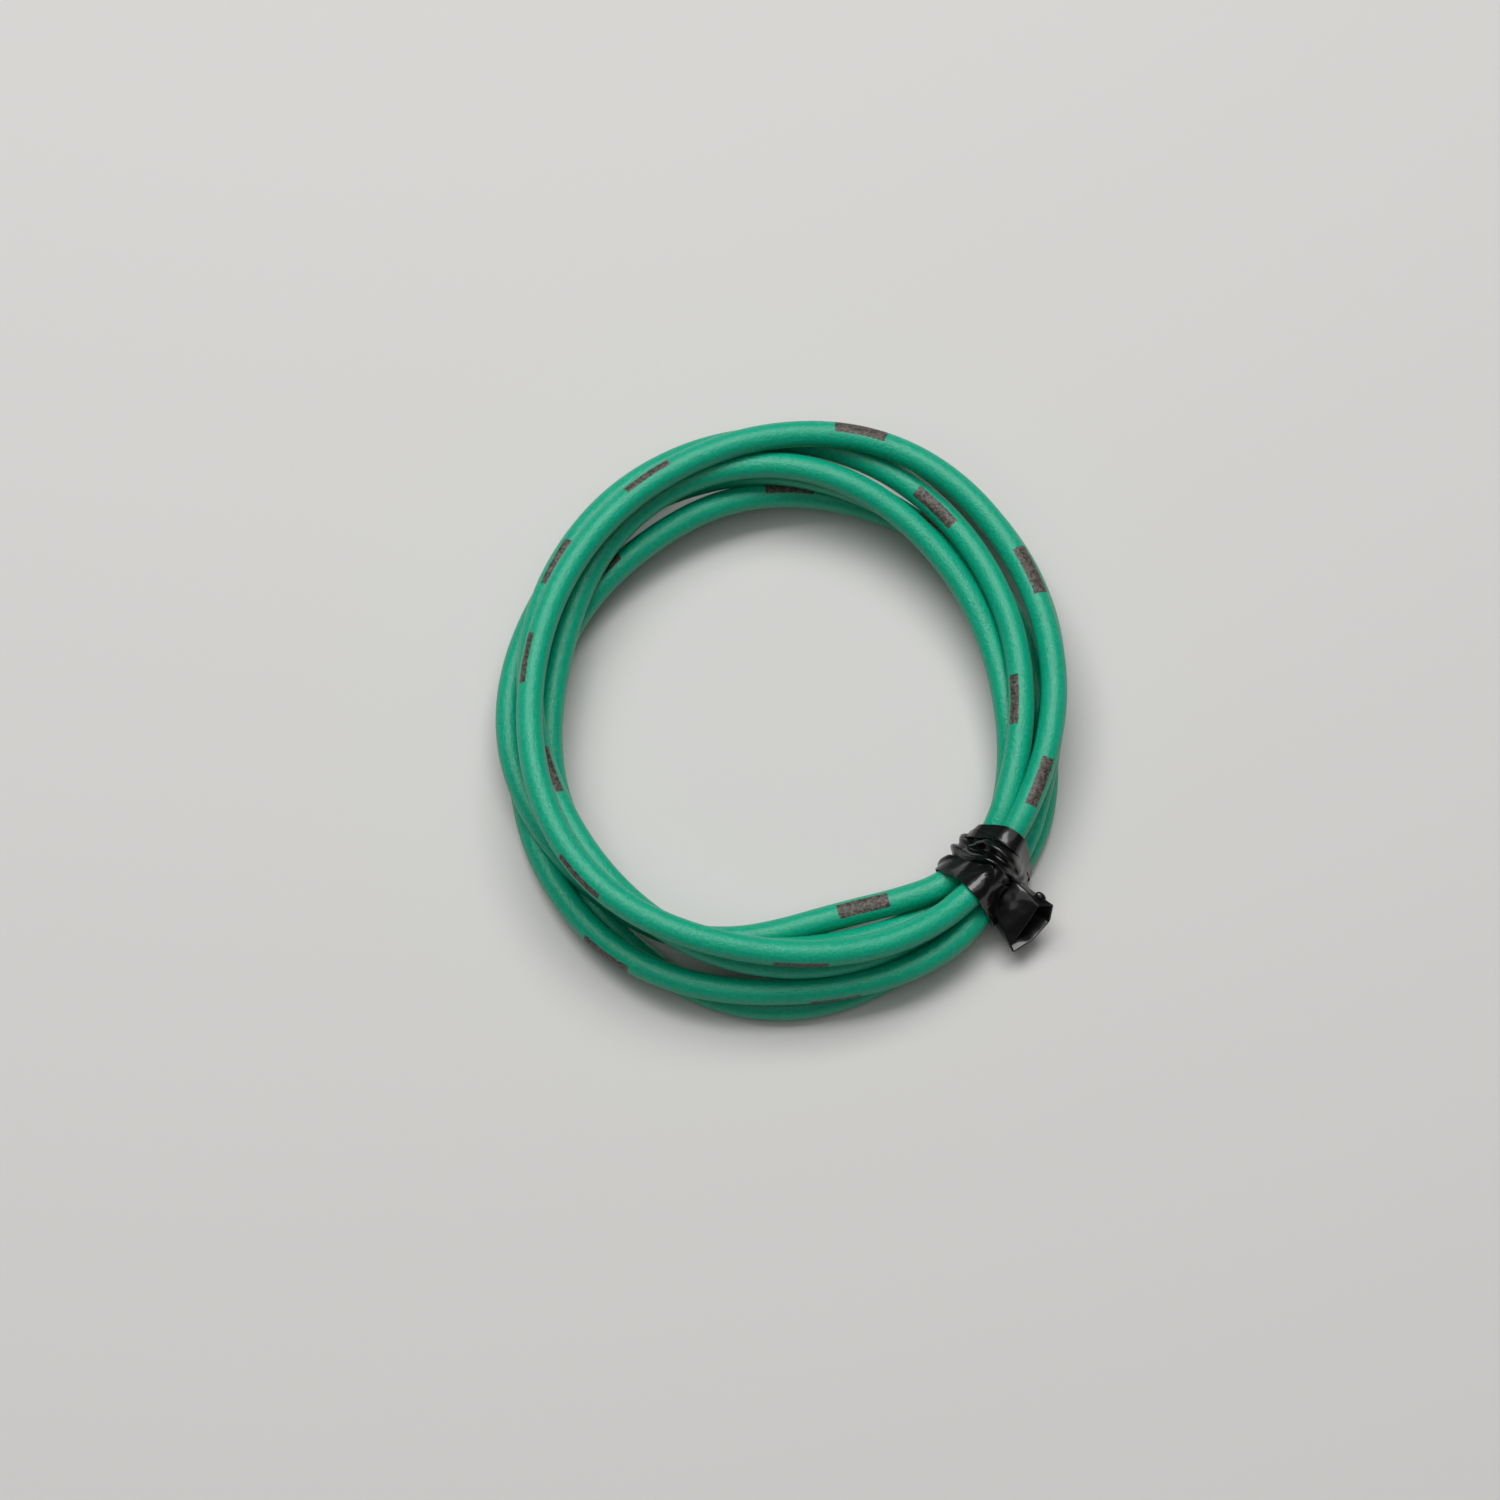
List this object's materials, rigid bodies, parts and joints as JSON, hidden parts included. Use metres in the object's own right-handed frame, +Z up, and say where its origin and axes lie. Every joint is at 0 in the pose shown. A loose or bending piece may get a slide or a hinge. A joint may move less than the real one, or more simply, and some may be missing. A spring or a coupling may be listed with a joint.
{
  "type": "coil of hook-up wire",
  "caption": "Loose round coil of thin green insulated copper wire with printed dashes, its turns and both cut ends held by a crumpled black vinyl strip.",
  "frame": {"origin": "on the floor under the middle of the coil's outline", "axes": "+Z up through the coil, square to the floor it lies on; +X to the right and -Y towards the viewer, with the vinyl strip at the lower right"},
  "size_m": [0.064, 0.063, 0.0134],
  "materials": {
    "insulation": "satin extruded PVC with printed black dashes",
    "copper": "bright drawn copper",
    "vinyl": "glossy creased vinyl"
  },
  "bodies": {
    "root": {"wire_insulation": "insulation", "copper_strands": "copper", "tie_strip": "vinyl"}
  },
  "joints": []
}
